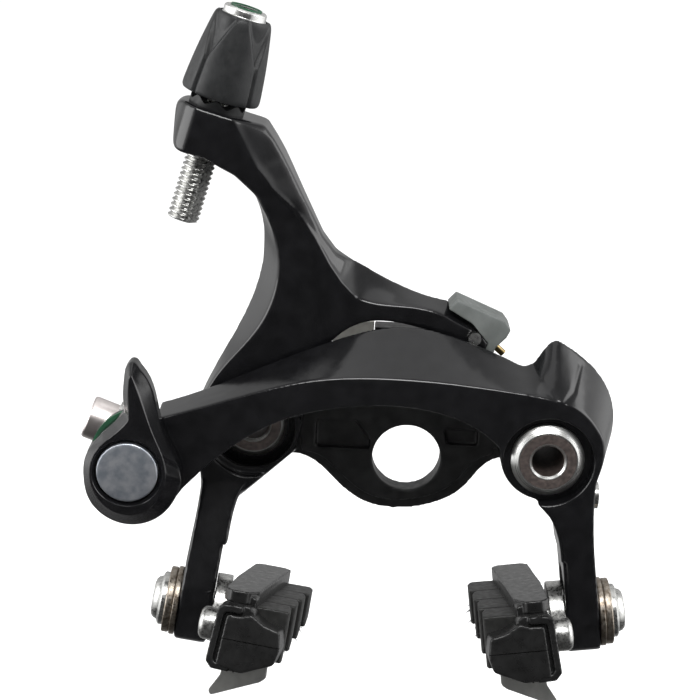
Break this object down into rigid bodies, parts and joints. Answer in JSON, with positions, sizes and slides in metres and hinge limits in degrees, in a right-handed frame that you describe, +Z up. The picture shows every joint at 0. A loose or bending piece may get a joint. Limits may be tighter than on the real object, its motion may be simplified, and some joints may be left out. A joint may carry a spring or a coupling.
{
  "type": "rim brake caliper",
  "caption": "Direct-mount dual-pivot rim brake caliper with cable adjuster, quick-release lever and height-adjustable brake shoes.",
  "frame": {"origin": "midway between the two mounting bolt holes, on the rear mounting face", "axes": "+X to the right seen from in front of the brake, +Y back into the bicycle frame, +Z up"},
  "size_m": [0.1073, 0.0566, 0.1339],
  "materials": {
    "gloss_black": "gloss black paint on forged aluminium",
    "black_bracket": "satin black paint",
    "bare_silver": "turned and polished",
    "steel": "zinc-plated steel",
    "dark_sleeve": "dark brown hard-coated",
    "brown_washer": "nickel plated, brownish",
    "knob_plastic": "fine grained black plastic",
    "holder_plastic": "moulded black plastic",
    "pad_rubber": "moulded brake rubber, dark grey",
    "guide_plastic": "grey plastic",
    "cap_plastic": "grey nylon",
    "nylon": "pale nylon",
    "green_seal": "green plastic",
    "spring_steel": "spring steel, straw coloured"
  },
  "bodies": {
    "root": {"mounting_bracket": "black_bracket", "left_pivot_sleeve": "dark_sleeve", "right_pivot_sleeve": "dark_sleeve", "left_sleeve_ring": "bare_silver", "right_sleeve_ring": "bare_silver", "left_thrust_washer": "steel", "right_thrust_washer": "steel", "return_spring": "spring_steel", "spring_sleeve": "nylon"},
    "front_arm_body": {"front_arm": "gloss_black", "right_pivot_bush": "steel", "roller_pin": "steel", "release_spacer": "green_seal"},
    "sync_roller_body": {"sync_roller": "nylon"},
    "centring_screw_body": {"centring_screw": "steel"},
    "quick_release": {"release_lever": "gloss_black", "release_cap": "bare_silver", "release_shaft": "steel"},
    "cable_anchor": {"anchor_block": "steel", "anchor_washer": "steel", "cable_anchor_bolt": "steel"},
    "rear_arm_body": {"rear_arm": "gloss_black", "left_pivot_bush": "steel", "slide_cap": "cap_plastic", "cap_pin": "bare_silver", "detent_ring": "knob_plastic"},
    "adjuster_knob_body": {"adjuster_knob": "knob_plastic", "adjuster_nut": "steel"},
    "adjuster_stud_body": {"adjuster_stud": "steel", "housing_ferrule": "bare_silver", "ferrule_seal": "green_seal"},
    "left_shoe_mount": {"left_inner_washer": "steel", "left_outer_washers": "brown_washer", "left_shoe_bolt": "steel"},
    "left_shoe": {"left_shoe_holder": "holder_plastic", "left_brake_pad": "pad_rubber", "left_pad_screw": "steel", "left_wheel_guide": "guide_plastic"},
    "right_shoe_mount": {"right_inner_washer": "steel", "right_outer_washers": "brown_washer", "right_shoe_bolt": "steel"},
    "right_shoe": {"right_shoe_holder": "holder_plastic", "right_brake_pad": "pad_rubber", "right_pad_screw": "steel", "right_wheel_guide": "guide_plastic"}
  },
  "joints": [
    {"name": "front_arm_pivot", "type": "hinge", "parent": "root", "child": "front_arm_body", "pos_m": [0.028, -0.017, 0], "axis": [0, 1, 0], "range_deg": [0, 12], "stiffness_Nm_per_rad": 1.5, "springref_deg": -20.05},
    {"name": "rear_arm_pivot", "type": "hinge", "parent": "root", "child": "rear_arm_body", "pos_m": [-0.028, -0.011, 0], "axis": [0, -1, 0], "range_deg": [0, 12]},
    {"name": "roller_spin", "type": "hinge", "parent": "front_arm_body", "child": "sync_roller_body", "pos_m": [0.0095, -0.0127, 0.0136], "axis": [0, 1, 0], "continuous": true},
    {"name": "centring_screw_turn", "type": "hinge", "parent": "front_arm_body", "child": "centring_screw_body", "pos_m": [0.0381, -0.0135, -0.0113], "axis": [1, 0, 0], "range_deg": [-720, 720]},
    {"name": "quick_release_lever", "type": "hinge", "parent": "front_arm_body", "child": "quick_release", "pos_m": [-0.0498, -0.03, -0.0027], "axis": [0, -1, 0], "range_deg": [0, 90]},
    {"name": "cable_anchor_slide", "type": "slide", "parent": "front_arm_body", "child": "cable_anchor", "axis": [0.2501, 0, 0.9682], "range_m": [0, 0.0025]},
    {"name": "adjuster_turn", "type": "hinge", "parent": "rear_arm_body", "child": "adjuster_knob_body", "pos_m": [-0.0375, -0.015, 0.058], "axis": [0.2639, 0, 0.9646], "range_deg": [0, 2880]},
    {"name": "adjuster_stud_slide", "type": "slide", "parent": "rear_arm_body", "child": "adjuster_stud_body", "axis": [0.2639, 0, 0.9646], "range_m": [0, 0.008]},
    {"name": "left_shoe_height", "type": "slide", "parent": "rear_arm_body", "child": "left_shoe_mount", "axis": [0.1392, 0, 0.9903], "range_m": [0, 0.007]},
    {"name": "left_shoe_tilt", "type": "hinge", "parent": "left_shoe_mount", "child": "left_shoe", "pos_m": [-0.03463, -0.019, -0.03589], "axis": [0.9903, 0, -0.1392], "range_deg": [-10, 10]},
    {"name": "right_shoe_height", "type": "slide", "parent": "front_arm_body", "child": "right_shoe_mount", "axis": [-0.1392, 0, 0.9903], "range_m": [0, 0.007]},
    {"name": "right_shoe_tilt", "type": "hinge", "parent": "right_shoe_mount", "child": "right_shoe", "pos_m": [0.03442, -0.019, -0.03441], "axis": [-0.9903, 0, -0.1392], "range_deg": [-10, 10]}
  ],
  "couplings": [
    {"joint": "rear_arm_pivot", "follows": "front_arm_pivot", "ratio": 1},
    {"joint": "cable_anchor_slide", "follows": "quick_release_lever", "m_per_rad": 0.0015914},
    {"joint": "adjuster_turn", "follows": "adjuster_stud_slide", "rad_per_m": 6283}
  ]
}
